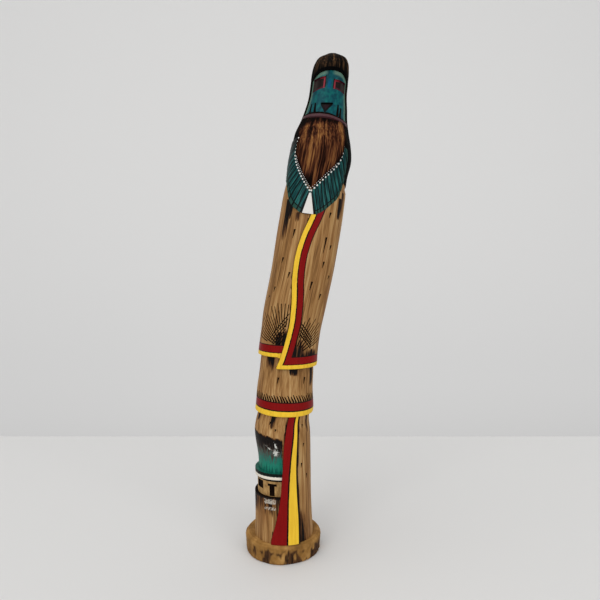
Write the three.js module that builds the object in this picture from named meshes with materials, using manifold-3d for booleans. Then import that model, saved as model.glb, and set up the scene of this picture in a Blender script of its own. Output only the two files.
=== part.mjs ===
// A kachina figure carved from one bent cottonwood root, standing on a slice of branch.
// Millimetres, +Z up. The figure faces -Y, and the origin is the centre of the slice's underside.
// The carving is one solid: a column, a skirt, a robe and a mantle of hair with the head, each
// standing a little proud of the one below it. The robe's overlap, the sash, the collar and the
// beard are raised from them, and the mask and a small cliff house are cut into them.
import * as THREE from "three";
import { mergeVertices } from "three/addons/utils/BufferGeometryUtils.js";
import Module from "manifold-3d";

const wasm = await Module();
wasm.setup();

// Driving dimensions of the slice that the figure stands on
const SLICE_WIDTH = 92; // side to side
const SLICE_DEPTH = 92; // front to back
const SLICE_THICKNESS = 23;
const SLICE_RIM = 2.6; // how far the top edge is worn back
const SLICE_HEEL = 1.8; // how far the lower edge is worn back
const SLICE_TAPER = 1.2; // how much less its radius is at the bottom
const FOOT_FORWARD = 7; // the figure stands this far in front of the slice's centre

// Driving dimensions of the figure
const FIGURE_HEIGHT = 584;
const FIGURE_WIDTH = 75; // across the robe
const FIGURE_DEPTH = 73; // the robe, front to back
const ROUNDNESS = 2.15; // exponent of the root's section: 2 is an ellipse, more is squarer

// How far each carved layer stands proud of its ground
const FLAP_STEP = 2.0; // the robe's upper flap over its lower one
const SASH_STEP = 2.2; // the sash over the column
const SASH_FLARE = 1.0; // how much further out the sash stands at the foot
const COLLAR_STEP = 2.4; // the collar over the hair and the robe
const BEARD_STEP = 1.3; // the beard over the collar
const UNDERCUT = 2.0; // how far a hem's underside rises towards the root's middle
const CROWN_FALL = 0.35; // slope of the crown towards the face

// How deep each carved place is cut
const MASK_CUT = 1.5; // the mask below the hair round it
const EYE_CUT = 2.0; // the eye slots below the mask
const MOUTH_CUT = 1.6; // the mouth below the mask
const CAVE_CUT = 5.0; // the cave behind the roof of the cliff house
const ROOF_CUT = 0.8; // the edge of the roof
const WALL_CUT = 3.6; // the wall under the roof

// Fineness of the facets
const SEGMENTS = 44;
const RING_SPACING = 12;
const FACET = 9; // on the smaller carving
const BURIED = 0.6; // raised carving starts at this share of its ground's radius
const CLEAR = 6; // a cut starts this far outside the surface

const { lerp, smoothstep, clamp, degToRad: rad, radToDeg: deg } = THREE.MathUtils;

// Heights of the carving are in percent of the figure's height above its foot.
const high = (percent) => SLICE_THICKNESS + (percent / 100) * FIGURE_HEIGHT;
const percentAt = (z) => ((z - SLICE_THICKNESS) / FIGURE_HEIGHT) * 100;

// A smooth curve through [position, value] stations, level beyond the ends
function through(stations) {
  const positions = stations.map(([position]) => position);
  const values = stations.map(([, value]) => value);
  const curve = new THREE.CubicInterpolant(positions, values, 1, new Float32Array(1));
  return (at) => curve.evaluate(clamp(at, positions[0], positions.at(-1)))[0];
}
const level = (value) => () => value;

// The root's bend: how far its middle stands to the right of the foot, in percent of the height.
const leanPercent = through([
  [0, 0.25], [4, 0.2], [9, 0.05], [21, -0.08], [23.5, -0.05], [26, 0.35], [30, 0.45],
  [33.5, 0.75], [37.6, 1.0], [45, 2.1], [55, 4.1], [65.5, 5.8], [73, 6.95], [77, 7.75],
  [80.4, 8.07], [83, 8.17], [85.5, 8.6], [88, 9.05], [92, 9.55], [96, 10.0], [100, 10.4],
]);
const middleX = (z) => (leanPercent(percentAt(z)) / 100) * FIGURE_HEIGHT;

// Half the width of each layer at a height, as a share of half the robe's width
const COLUMN = through([
  [0, 0.935], [4, 0.915], [14, 0.91], [21.5, 0.9], [24, 0.85], [28, 0.82],
]);
const SKIRT = through([[24.5, 0.95], [29, 0.915], [33, 0.88], [38, 0.84]]);
const ROBE = through([
  [34.5, 0.95], [42, 0.95], [46, 0.985], [52, 1.0], [69, 1.0], [71.5, 0.972], [73, 0.95],
  [76, 0.91],
]);
const MANTLE = through([
  [70.5, 0.995], [72, 0.992], [74, 0.987], [77, 1.01], [79, 0.982], [80.5, 0.945], [83, 0.868],
  [85.5, 0.755], [88, 0.68], [90.5, 0.62], [93, 0.607], [96, 0.594], [98, 0.53], [99.2, 0.4],
  [100, 0.12],
]);

// Distance from the root's middle to a layer's surface. Angle 0 is the front and 90 the
// figure's left side, which the front view has on its right.
const surface = (layer) => (angle, z) => {
  const share = layer(percentAt(z));
  const across = Math.abs(Math.sin(rad(angle))) / ((share * FIGURE_WIDTH) / 2);
  const along = Math.abs(Math.cos(rad(angle))) / ((share * FIGURE_DEPTH) / 2);
  return (across ** ROUNDNESS + along ** ROUNDNESS) ** (-1 / ROUNDNESS);
};

function pointAt(angle, z, distance) {
  const x = middleX(z) + distance * Math.sin(rad(angle));
  return new THREE.Vector3(x, -FOOT_FORWARD - distance * Math.cos(rad(angle)), z);
}

function solid(geometry) {
  const bare = geometry.clone();
  bare.deleteAttribute("normal");
  bare.deleteAttribute("uv");
  const merged = mergeVertices(bare, 1e-4);
  return new wasm.Manifold(
    new wasm.Mesh({
      numProp: 3,
      vertProperties: merged.attributes.position.array,
      triVerts: new Uint32Array(merged.index.array),
    }),
  );
}

function geometryOf(made) {
  const { vertProperties, triVerts } = made.getMesh();
  const geometry = new THREE.BufferGeometry();
  geometry.setAttribute("position", new THREE.BufferAttribute(vertProperties, 3));
  geometry.setIndex(new THREE.BufferAttribute(triVerts, 1));
  geometry.computeVertexNormals();
  return geometry;
}

// Moves every vertex of a geometry to the place that move(vertex) gives
function moved(geometry, move) {
  const places = geometry.getAttribute("position");
  const vertex = new THREE.Vector3();
  for (let i = 0; i < places.count; i++) {
    const to = move(vertex.fromBufferAttribute(places, i));
    places.setXYZ(i, to.x, to.y, to.z);
  }
  return geometry;
}

// The crown starts and ends its slope towards the face at these percents.
const CROWN = [95.5, 99];

// One layer of the root, from its hem, which may rise and fall round it, to its top. With
// crowding above 1 the rings come closer together towards the top, and fall slopes the crown.
function layerSolid(layer, hem, top, undercut, crowding = 1, fall = 0) {
  const rings = Math.ceil((((top - hem(0)) / 100) * FIGURE_HEIGHT) / RING_SPACING);
  const tube = new THREE.CylinderGeometry(1, 1, 1, SEGMENTS, rings).translate(0, 0.5, 0);
  const outside = surface(layer);
  return solid(moved(tube, ({ x, y, z }) => {
    const angle = deg(Math.atan2(x, z));
    const outward = Math.hypot(x, z);
    const rise = 1 - (1 - y) ** crowding;
    const height = lerp(high(hem(angle)), high(top), rise);
    const distance = outward * outside(angle, height);
    const tucked = undercut * (1 - outward) * (1 - y);
    const forward = Math.max(0, distance * Math.cos(rad(angle)));
    const fallen = fall * forward * smoothstep(percentAt(height), ...CROWN);
    return pointAt(angle, height + tucked - fallen, distance);
  }));
}

// A block on the root's surface. place(across, up) turns shares from 0 to 1 into
// [degrees, percent], and inner and outer give how far its two faces are from the middle.
function block(place, columns, rows, inner, outer) {
  const box = new THREE.BoxGeometry(1, 1, 1, columns, rows, 1).translate(0.5, 0.5, 0.5);
  return solid(moved(box, ({ x, y, z }) => {
    const [angle, percent] = place(x, y);
    const height = high(percent);
    return pointAt(angle, height, lerp(inner(angle, height), outer(angle, height), z));
  }));
}

// Two ways to lay out a block: between two edges that wander from side to side as they rise,
// or between two edges that rise and fall as they go round.
const between = (left, right, low, top) => (across, up) => {
  const percent = lerp(low, top, up);
  return [lerp(left(percent), right(percent), across), percent];
};
const around = (from, to, low, top) => (across, up) => {
  const angle = lerp(from, to, across);
  return [angle, lerp(low(angle), top(angle), up)];
};

const facetsOver = (length) => Math.max(1, Math.round(length / FACET));
const facetsRound = (degrees) => facetsOver((rad(degrees) * FIGURE_WIDTH) / 2);
const facetsUp = (percent) => facetsOver((percent / 100) * FIGURE_HEIGHT);

function raise(layer, place, columns, rows, step) {
  const ground = surface(layer);
  return block(
    place, columns, rows,
    (angle, z) => BURIED * ground(angle, z),
    (angle, z) => ground(angle, z) + step(angle, z),
  );
}

function sink(layer, place, columns, rows, depth) {
  const ground = surface(layer);
  return block(
    place, columns, rows,
    (angle, z) => ground(angle, z) - depth(angle, z),
    (angle, z) => ground(angle, z) + CLEAR,
  );
}

// The column with the cliff house carved on its right and the sash in front
const COLUMN_TOP = 28;
const HOUSE_FROM = -126; // degrees round the root
const HOUSE_TO = 2;
const CAVE_TOP = through([[HOUSE_FROM, 22], [-90, 21.6], [-40, 20.9], [HOUSE_TO, 20.2]]);
const ROOF_TOP = 13.7;
const ROOF_BASE = 12.5;
const GROUND = 9.0;
const caveDepth = (angle, z) =>
  CAVE_CUT * (1 - smoothstep(percentAt(z), ROOF_TOP + 1.2, CAVE_TOP(angle) + 0.6));
const sashLeft = through([
  [0, -21.6], [4.6, -11.5], [8.9, -3], [12.4, 0], [14.7, 2.3], [19.2, 4.5], [25, 12],
]);
const sashRight = through([[0, 32], [4.4, 32.7], [14.5, 31], [20, 33.4], [25, 36]]);
const SASH_TOP = 26.5;
const sashStep = (angle, z) => SASH_STEP + SASH_FLARE * (1 - smoothstep(percentAt(z), 0, 12));

function columnSolid() {
  const houseCut = (low, top, depth) => sink(
    COLUMN, around(HOUSE_FROM, HOUSE_TO, low, top),
    facetsRound(HOUSE_TO - HOUSE_FROM), facetsUp(top(0) - low(0)), depth,
  );
  const sash = raise(
    COLUMN, between(sashLeft, sashRight, 0, SASH_TOP), 3, facetsUp(SASH_TOP), sashStep,
  );
  return layerSolid(COLUMN, level(0), COLUMN_TOP, 0)
    .subtract(houseCut(level(ROOF_TOP), CAVE_TOP, caveDepth))
    .subtract(houseCut(level(ROOF_BASE - 0.1), level(ROOF_TOP + 0.1), level(ROOF_CUT)))
    .subtract(houseCut(level(GROUND), level(ROOF_BASE), level(WALL_CUT)))
    .add(sash);
}

// The skirt, down to the lower hem
const HEM_TILT = 0.9; // percent by which every hem is higher at the back than in front
const hemTilt = (angle) => (HEM_TILT * (1 - Math.cos(rad(angle)))) / 2;
const SKIRT_TOP = 38;
const skirtRun = through([[-180, 24.5], [-90, 25.4], [0, 25.1], [90, 24.8], [180, 24.5]]);
const skirtHem = (angle) => skirtRun(angle) + hemTilt(angle);

// The robe, with its upper flap drawn across from the figure's left
const ROBE_TOP = 76;
const LOWER_FLAP_HEM = 36.9;
const UPPER_FLAP_HEM = 34.7;
const FLAP_LIP = 0.1; // the upper flap hangs this much lower than the robe behind it
const FLAP_TOP = 74.5;
const FLAP_END = 128; // where the upper flap has sunk into the robe, towards the back
const HEM_CORNER = -18;
const flapEdge = through([
  [UPPER_FLAP_HEM - FLAP_LIP, HEM_CORNER], [36.4, -12.6], [38.9, -7.4], [41, -4.8],
  [43.4, -3], [46.7, -5], [49, -8], [51.6, -12.5], [54, -15], [56.4, -15.6], [58.8, -13.7],
  [61.5, -9], [64.5, -1], [68, 5],
]);
const robeHem = (angle) => {
  const drop = smoothstep(angle, HEM_CORNER + 4, HEM_CORNER + 20) - smoothstep(angle, 120, 240);
  const rise = smoothstep(angle, -240, -120);
  const lowered = angle < HEM_CORNER ? 1 - rise : drop;
  return lerp(LOWER_FLAP_HEM, UPPER_FLAP_HEM, lowered) + hemTilt(angle);
};

// The flap sinks into the robe towards the back and under the hair at the shoulder.
const flapStep = (angle, z) => {
  const underHair = smoothstep(percentAt(z), 69.5, 72) * smoothstep(angle, 38, 58);
  return FLAP_STEP - (FLAP_STEP + 1) * Math.max(smoothstep(angle, 60, FLAP_END), underHair);
};
const flapPlace = (across, up) => {
  const percent = lerp(UPPER_FLAP_HEM - FLAP_LIP, FLAP_TOP, up);
  const angle = lerp(flapEdge(percent), FLAP_END, across);
  return [angle, percent + hemTilt(angle) * (1 - up)];
};

function robeSolid() {
  const flap = raise(
    ROBE, flapPlace, facetsRound(FLAP_END), facetsUp(FLAP_TOP - UPPER_FLAP_HEM), flapStep,
  );
  return layerSolid(ROBE, robeHem, ROBE_TOP, UNDERCUT).add(flap);
}

// The mantle of hair and the head, with the collar, the beard and the mask
const HAIR_HEM = through([
  [-180, 72.4], [-90, 73.2], [0, 73.6], [35, 73.2], [55, 72.4], [75, 71.8], [100, 71.7],
  [135, 72], [180, 72.4],
]);
const COLLAR_FROM = -92;
const COLLAR_TO = 60;
const collarLow = through([
  [COLLAR_FROM, 76.8], [-75, 74.2], [-57, 71.2], [-46, 68.6], [-34, 66.6], [-19, 65.5],
  [-4, 65], [10, 65.1], [23, 66.1], [38, 67.8], [51, 69.6], [57, 71.6], [COLLAR_TO, 73.5],
]);
const collarHigh = through([
  [COLLAR_FROM, 77.6], [-84, 80.8], [-70, 81.2], [0, 81.2], [44, 79], [51, 78.2],
  [COLLAR_TO, 74.5],
]);
const collarStep = (angle) => COLLAR_STEP * (1 - 0.45 * smoothstep(-angle, 45, 85));
const BEARD_LOW = 70.3;
const CHIN = 84.5;
const CHIN_SLOPE = 0.012; // percent by which the chin is lower for each degree to its left
const beardLeft = through([
  [BEARD_LOW, -6], [71.2, -15], [73.1, -27], [75.1, -37], [77, -45], [80.1, -49], [CHIN, -60],
]);
const beardRight = through([
  [BEARD_LOW, -3], [71.2, 4], [73.1, 18.5], [75.3, 31], [77.4, 37.5], [79.6, 41], [CHIN, 50],
]);
const beardPlace = (across, up) => {
  const percent = lerp(BEARD_LOW, CHIN, up);
  const angle = lerp(beardLeft(percent), beardRight(percent), across);
  return [angle, percent - CHIN_SLOPE * angle * up];
};
const MASK_SIDE = 68;
const maskLow = through([[-MASK_SIDE, 85.9], [0, 85.5], [MASK_SIDE, 84.4]]);
const maskHigh = through([[-MASK_SIDE, 93.5], [-35, 94.5], [0, 94.8], [35, 94.5], [MASK_SIDE, 93.5]]);
const EYES = [[-60, -14.5, 91.5, 93.75], [15, 62, 91.3, 93.1]]; // from, to, low, high
const LOWER_DROOP = 0.012; // percent lower for each degree round the head
const UPPER_DROOP = 0.004;
const eyeAt = (percent, droop) => (angle) => percent - droop * Math.abs(angle);
const MOUTH_LOW = 85.7;
const MOUTH_HIGH = 88.1;
const mouthLeft = through([[MOUTH_LOW, -3], [MOUTH_HIGH, -18]]);
const mouthRight = through([[MOUTH_LOW, -1], [MOUTH_HIGH, 18]]);

// The collar runs from the hair at the shoulders down over the robe in front.
const collarGround = (percent) => Math.max(ROBE(percent), MANTLE(percent));

function mantleSolid() {
  const collar = raise(
    collarGround, around(COLLAR_FROM, COLLAR_TO, collarLow, collarHigh),
    facetsRound(COLLAR_TO - COLLAR_FROM), facetsUp(collarHigh(0) - collarLow(0)), collarStep,
  );
  const beard = raise(
    MANTLE, beardPlace, facetsRound(90), facetsUp(CHIN - BEARD_LOW),
    (angle, z) => BEARD_STEP + COLLAR_STEP * (1 - smoothstep(percentAt(z), 79, CHIN)),
  );
  const mask = sink(
    MANTLE, around(-MASK_SIDE, MASK_SIDE, maskLow, maskHigh), 14, 7, level(MASK_CUT),
  );
  const mouth = sink(
    MANTLE, between(mouthLeft, mouthRight, MOUTH_LOW, MOUTH_HIGH), 3, 1,
    level(MASK_CUT + MOUTH_CUT),
  );
  const eyes = EYES.map(([from, to, low, top]) => sink(
    MANTLE, around(from, to, eyeAt(low, LOWER_DROOP), eyeAt(top, UPPER_DROOP)), 5, 1,
    level(MASK_CUT + EYE_CUT),
  ));
  return [mask, mouth, ...eyes].reduce(
    (made, cut) => made.subtract(cut),
    layerSolid(MANTLE, HAIR_HEM, 100, UNDERCUT, 1.5, CROWN_FALL).add(collar).add(beard),
  );
}

const figureSolid = () =>
  columnSolid()
    .add(layerSolid(SKIRT, skirtHem, SKIRT_TOP, UNDERCUT))
    .add(robeSolid())
    .add(mantleSolid());

// The slice of branch: a flat disc with worn rims and a bark edge that isn't quite round
const BARK_WAVES = [[2, 0.007, 250], [3, 0.01, 110], [5, 0.006, 20], [9, 0.004, 75]];
const barkSwell = (angle) => BARK_WAVES.reduce(
  (sum, [count, share, phase]) => sum + share * Math.cos(rad(count * angle + phase)),
  1,
);

function sliceSolid() {
  const half = SLICE_WIDTH / 2;
  const profile = [
    [0, 0], [half - SLICE_TAPER - SLICE_HEEL, 0], [half - SLICE_TAPER, SLICE_HEEL],
    [half - SLICE_TAPER / 2, SLICE_THICKNESS / 2], [half, SLICE_THICKNESS - SLICE_RIM],
    [half - SLICE_RIM, SLICE_THICKNESS], [0, SLICE_THICKNESS],
  ].map(([outward, z]) => new THREE.Vector2(outward, z));
  return solid(moved(new THREE.LatheGeometry(profile, SEGMENTS), ({ x, y, z }) => {
    const swell = barkSwell(deg(Math.atan2(x, z)));
    return new THREE.Vector3(x * swell, (-z * swell * SLICE_DEPTH) / SLICE_WIDTH, y);
  }));
}

function named(name, made, color, roughness) {
  const material = new THREE.MeshStandardMaterial({ color, roughness, metalness: 0 });
  const mesh = new THREE.Mesh(geometryOf(made), material);
  mesh.name = name;
  return mesh;
}

const kachina = new THREE.Group();
kachina.add(named("figure", figureSolid(), 0xa98557, 0.6));
kachina.add(named("base_slice", sliceSolid(), 0x86673f, 0.85));

export default kachina;
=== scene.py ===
# %% [markdown]
# # A kachina figure carved from one root
# The real figure is one piece of cottonwood root, shaped with a knife, lined with a hot pen and
# painted, and it stands on a slice of branch with the bark's edge left on. This lesson carves it
# again in the order of the real work: the layers of the root, the pieces that stand proud, the
# places that are cut in, the burned lines, and then the paint.

# %% Load the model that the looks are fitted to
import bisect
import math
import random
import bmesh
import bpy
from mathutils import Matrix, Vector, noise


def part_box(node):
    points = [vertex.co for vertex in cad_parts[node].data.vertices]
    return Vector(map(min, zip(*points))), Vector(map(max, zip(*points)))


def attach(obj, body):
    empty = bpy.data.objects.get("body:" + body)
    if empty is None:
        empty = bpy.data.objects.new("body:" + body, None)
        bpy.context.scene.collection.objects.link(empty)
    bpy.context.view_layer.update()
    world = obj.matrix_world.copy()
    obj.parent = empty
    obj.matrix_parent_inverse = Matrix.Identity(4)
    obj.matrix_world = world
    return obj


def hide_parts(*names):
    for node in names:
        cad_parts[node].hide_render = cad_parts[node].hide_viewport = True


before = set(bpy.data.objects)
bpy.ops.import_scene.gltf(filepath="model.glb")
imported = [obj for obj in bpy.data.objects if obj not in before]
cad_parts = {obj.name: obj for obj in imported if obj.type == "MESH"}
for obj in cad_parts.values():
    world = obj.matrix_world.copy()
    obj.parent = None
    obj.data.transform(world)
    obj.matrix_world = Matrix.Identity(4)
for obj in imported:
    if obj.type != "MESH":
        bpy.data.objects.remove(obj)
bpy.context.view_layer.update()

# %% [markdown]
# ## Sizes
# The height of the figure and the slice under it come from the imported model. The rest of the
# figure's sizes are millimetres, and heights on the figure are percent of its height above the
# foot, so that the carving keeps its place if the figure grows.

# %% Sizes
MM = 0.001
_, slice_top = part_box("base_slice")
figure_low, figure_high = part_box("figure")
FOOT = slice_top.z / MM
FIGURE_HEIGHT = (figure_high.z - figure_low.z) / MM
FOOT_FORWARD = 7
FIGURE_WIDTH = 75
FIGURE_DEPTH = 73
ROUNDNESS = 2.15  # exponent of the root's section: 2 is an ellipse, more is squarer
ARC = math.radians(FIGURE_WIDTH / 2)  # millimetres round the robe for one degree
RISE = FIGURE_HEIGHT / 100  # millimetres up the figure for one percent
print(f"the figure is {FIGURE_HEIGHT:.0f} mm tall and stands {FOOT:.0f} mm above the shelf")

# %% [markdown]
# ## Curves
# The root bends and swells slowly, so its middle and its width at every height are smooth curves
# through a few stations. A cubic through stations is easier to read than a spline object here,
# because the same numbers can be asked for at any height.

# %% Curves through stations
def through(*stations):
    """A smooth curve through (position, value) stations, level beyond the ends."""
    at, values = zip(*stations)
    rises = [(values[i + 1] - values[i]) / (at[i + 1] - at[i]) for i in range(len(at) - 1)]
    slopes = [0.0] + [(a + b) / 2 for a, b in zip(rises, rises[1:])] + [0.0]

    def curve(position):
        position = min(max(position, at[0]), at[-1])
        i = min(bisect.bisect_right(at, position), len(at) - 1) - 1
        width = at[i + 1] - at[i]
        share = (position - at[i]) / width
        blend = share * share * (3 - 2 * share)
        bend = (1 - share) * slopes[i] - share * slopes[i + 1]
        return values[i] * (1 - blend) + values[i + 1] * blend + width * share * (1 - share) * bend
    return curve


def lerp(a, b, share):
    return a + (b - a) * share


def smoothstep(value, low, high):
    share = min(max((value - low) / (high - low), 0), 1)
    return share * share * (3 - 2 * share)


def level(value):
    return lambda position: value

# %% [markdown]
# ## The root
# Every place on the figure is an angle round the root and a percent of its height: 0 degrees is
# the front and 90 is the figure's left. The root's section is a little squarer than an ellipse.
# A knife never leaves a perfect surface, so slow waves a few tenths of a millimetre deep are
# added once, in the one function that gives every point.

# %% The root's middle, widths and points
lean = through(
    (0, 0.25), (4, 0.2), (9, 0.05), (21, -0.08), (23.5, -0.05), (26, 0.35), (30, 0.45),
    (33.5, 0.75), (37.6, 1.0), (45, 2.1), (55, 4.1), (65.5, 5.8), (73, 6.95), (77, 7.75),
    (80.4, 8.07), (83, 8.17), (85.5, 8.6), (88, 9.05), (92, 9.55), (96, 10.0), (100, 10.4))
column = through((0, 0.935), (4, 0.915), (14, 0.91), (21.5, 0.9), (24, 0.85), (28, 0.82))
skirt = through((24.5, 0.95), (29, 0.915), (33, 0.88), (38, 0.84))
robe = through(
    (34.5, 0.95), (42, 0.95), (46, 0.985), (52, 1.0), (69, 1.0), (71.5, 0.972), (73, 0.95),
    (76, 0.91))
mantle = through(
    (70.5, 0.995), (72, 0.992), (74, 0.987), (77, 1.01), (79, 0.982), (80.5, 0.945), (83, 0.868),
    (85.5, 0.755), (88, 0.68), (90.5, 0.62), (93, 0.607), (96, 0.594), (98, 0.53), (99.2, 0.4),
    (100, 0.12), (101, -0.2))
KNIFE_MARKS = 0.3
KNIFE_WIDTH = 16  # millimetres from one knife mark to the next
KNIFE_LENGTH = 40


def high(percent):
    return FOOT + percent / 100 * FIGURE_HEIGHT


def percent_at(z):
    return (z - FOOT) / FIGURE_HEIGHT * 100


def middle(percent):
    return lean(percent) / 100 * FIGURE_HEIGHT


print(f"the crown leans {middle(100):.0f} mm to the figure's left")


def surface(layer):
    """How far a layer's surface is from the root's middle at an angle and a percent."""
    def distance(angle, percent):
        share = layer(percent)
        across = abs(math.sin(math.radians(angle))) / (share * FIGURE_WIDTH / 2)
        along = abs(math.cos(math.radians(angle))) / (share * FIGURE_DEPTH / 2)
        return (across ** ROUNDNESS + along ** ROUNDNESS) ** (-1 / ROUNDNESS)
    return distance


def knife_wave(angle, percent):
    x = FIGURE_WIDTH / 2 * math.sin(math.radians(angle)) / KNIFE_WIDTH
    y = FIGURE_DEPTH / 2 * math.cos(math.radians(angle)) / KNIFE_WIDTH
    return KNIFE_MARKS * noise.noise(Vector((x, y, high(percent) / KNIFE_LENGTH)))


def point(angle, percent, distance, lift=0.0):
    """A place in metres, distance and lift in millimetres."""
    x = middle(percent) + distance * math.sin(math.radians(angle))
    y = -FOOT_FORWARD - distance * math.cos(math.radians(angle))
    return Vector((x, y, high(percent) + lift)) * MM

# %% [markdown]
# ## Finishes
# Each carving tool leaves its own finish on the faces that it makes, so all finishes are named
# before the carving starts, and their nodes follow when the shape is done.

# %% Names of the finishes
FINISH_NAMES = (
    "sanded_root", "skirt_paint", "robe_paint", "flap_paint", "sash_paint", "burned_line",
    "combed_hair", "combed_beard", "turquoise_mask", "eye_paint", "mouth_paint", "chin_paint",
    "feather_collar", "bead_paint", "cave_paint", "roof_paint", "wall_paint", "sawn_branch")
finishes = {name: bpy.data.materials.new(name) for name in FINISH_NAMES}
print(len(finishes), "finishes named")

# %% [markdown]
# ## Tools for carving
# A layer is a tube: a cone with equal ends, cut into rings and then moved onto the root. A raised
# piece or a cutter is a cube, cut into a grid and laid on the root the same way, so both follow
# its curves. Solids are joined and cut with the Boolean modifier, because then a hem or the side
# of a mask keeps a crisp edge wherever it runs.

# %% Tubes
UNDERCUT = 2.0  # how far a hem's underside rises towards the middle
HEM_ROUND = 0.7


def tube(layer, hem, top, columns, rings, undercut=UNDERCUT, crowding=1.0, fall=None, relief=None):
    """A layer of the root from its hem to its top. crowding draws its rings towards the top."""
    bm = bmesh.new()
    bmesh.ops.create_cone(bm, segments=columns, radius1=1, radius2=1, depth=1)
    upright = [e for e in bm.edges if abs(e.verts[0].co.z - e.verts[1].co.z) > 0.5]
    bmesh.ops.subdivide_edges(bm, edges=upright, cuts=rings - 1, use_grid_fill=True)
    ends = bmesh.ops.holes_fill(bm, edges=bm.edges, sides=0)["faces"]
    caps = bmesh.ops.poke(bm, faces=ends)["faces"]
    lower = {f for f in caps if f.calc_center_median().z < 0}
    outside = surface(layer)
    for v in bm.verts:
        x, y, z = v.co
        angle = math.degrees(math.atan2(x, -y))
        outward = min(math.hypot(x, y), 1.0)
        up = z + 0.5
        percent = lerp(hem(angle), top, 1 - (1 - up) ** crowding)
        distance = outside(angle, percent) + knife_wave(angle, percent)
        if relief:
            distance += relief(angle, percent)
        lift = undercut * (1 - outward) * (1 - up)
        if fall:
            lift -= fall(percent) * max(0, distance * math.cos(math.radians(angle)))
        v.co = point(angle, percent, distance * outward, lift)
    if undercut:
        rim = [e for f in lower for e in f.edges if not set(e.link_faces) <= lower]
        bmesh.ops.bevel(
            bm, geom=rim, offset=HEM_ROUND * MM, segments=2, profile=0.5, affect="EDGES",
            material=-1)
    bmesh.ops.recalc_face_normals(bm, faces=bm.faces)
    return bm

# %% Blocks that are laid on the root
def block(bm, place, columns, rows, inner, outer, floor_share=1.0):
    """Adds a block to bm. place(across, up) gives (degrees, percent), and inner and outer the
    distances of its two faces. Returns its faces: front, back and sides."""
    first = len(bm.verts)
    bmesh.ops.create_cube(bm, size=1)
    for axis, cuts in ((0, columns - 1), (2, rows - 1)):
        if cuts:
            bm.verts.ensure_lookup_table()
            along = {
                e for v in bm.verts[first:] for e in v.link_edges
                if abs((e.verts[0].co - e.verts[1].co)[axis]) > 0.5}
            bmesh.ops.subdivide_edges(bm, edges=list(along), cuts=cuts, use_grid_fill=True)
    bm.verts.ensure_lookup_table()
    new = bm.verts[first:]
    faces = {f for v in new for f in v.link_faces}
    front = {f for f in faces if all(v.co.y < 0 for v in f.verts)}
    back = {f for f in faces if all(v.co.y > 0 for v in f.verts)}
    for v in new:
        is_back = v.co.y > 0
        across = v.co.x * (floor_share if is_back else 1.0) + 0.5
        angle, percent = place(across, v.co.z + 0.5)
        distance = (inner if is_back else outer)(angle, percent)
        v.co = point(angle, percent, distance + knife_wave(angle, percent))
    return front, back, faces - front - back


def between(left, right, low, top):
    """Lays a block between two edges that wander from side to side as they rise."""
    def place(across, up):
        percent = lerp(low, top, up)
        return lerp(left(percent), right(percent), across), percent
    return place


def around(start, end, low, top):
    """Lays a block between two edges that rise and fall as they go round."""
    def place(across, up):
        angle = lerp(start, end, across)
        return angle, lerp(low(angle), top(angle), up)
    return place

# %% Raising and sinking
BURIED = 0.6  # raised carving starts at this share of its ground's radius
CLEAR = 6  # a cutter starts this far outside the surface
EDGE_ROUND = 0.45


def raised(layer, place, columns, rows, step, round_off=EDGE_ROUND, relief=None):
    """A block that stands proud of a layer: finish 0 on its face, 1 on its sides."""
    ground = surface(layer)
    bm = bmesh.new()

    def outer(angle, percent):
        extra = relief(angle, percent) if relief else 0.0
        return ground(angle, percent) + step(angle, percent) + extra
    front, _, sides = block(
        bm, place, columns, rows, lambda a, p: BURIED * ground(a, p), outer)
    for f in sides:
        f.material_index = 1
    rim = [e for f in front for e in f.edges if not set(e.link_faces) <= front]
    bmesh.ops.bevel(
        bm, geom=rim, offset=round_off * MM, segments=2, profile=0.5, affect="EDGES", material=-1)
    return bm


def sunk(layer, place, columns, rows, depth):
    """A cutter that goes into a layer: finish 0 on the floor it leaves, 1 on the walls."""
    ground = surface(layer)
    bm = bmesh.new()
    _, _, sides = block(
        bm, place, columns, rows,
        lambda a, p: ground(a, p) - depth(a, p), lambda a, p: ground(a, p) + CLEAR)
    for f in sides:
        f.material_index = 1
    return bm

# %% Joining and cutting
scene = bpy.context.scene


def as_object(bm, name, *finish_names):
    mesh = bpy.data.meshes.new(name)
    bm.to_mesh(mesh)
    bm.free()
    for finish in finish_names:
        mesh.materials.append(finishes[finish])
    made = bpy.data.objects.new(name, mesh)
    scene.collection.objects.link(made)
    return made


def carve(body, tool, operation):
    """Joins tool to body or cuts it out of it, and takes the tool away."""
    change = body.modifiers.new(operation, "BOOLEAN")
    change.object = tool
    change.operation = operation
    change.solver = "MANIFOLD"
    change.material_mode = "TRANSFER"
    depsgraph = bpy.context.evaluated_depsgraph_get()
    carved = bpy.data.meshes.new_from_object(body.evaluated_get(depsgraph))
    body.modifiers.clear()
    body.data, before = carved, body.data
    print(f"{operation.lower()} {tool.name}: now {len(carved.polygons)} faces")
    carved.name = body.name
    old_tool = tool.data
    bpy.data.objects.remove(tool)
    for mesh in (before, old_tool):
        bpy.data.meshes.remove(mesh)

# %% [markdown]
# ## The column, with the cliff house and the sash
# Below the skirt the root is bare. On the figure's right a cave is hollowed out, with the flat
# roof and the wall of a small house under it. The sash hangs in front and flares at the foot.

# %% The column
COLUMN_TOP = 28
column_tube = tube(column, level(0), COLUMN_TOP, 110, 72, undercut=0)
figure = as_object(column_tube, "carved_figure", "sanded_root")

# %% The cave and the house
HOUSE_FROM = -126
HOUSE_TO = 2
cave_top = through((HOUSE_FROM, 22), (-90, 21.6), (-40, 20.9), (HOUSE_TO, 20.2))
ROOF_TOP = 13.7
ROOF_BASE = 12.5
GROUND = 9.0
CAVE_CUT = 5.0
ROOF_CUT = 0.8
WALL_CUT = 3.6
SEAM = 0.1  # percent by which two cuts that meet run into each other


def cave_depth(angle, percent):
    return CAVE_CUT * (1 - smoothstep(percent, ROOF_TOP + 1.2, cave_top(angle) + 0.6))


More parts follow.
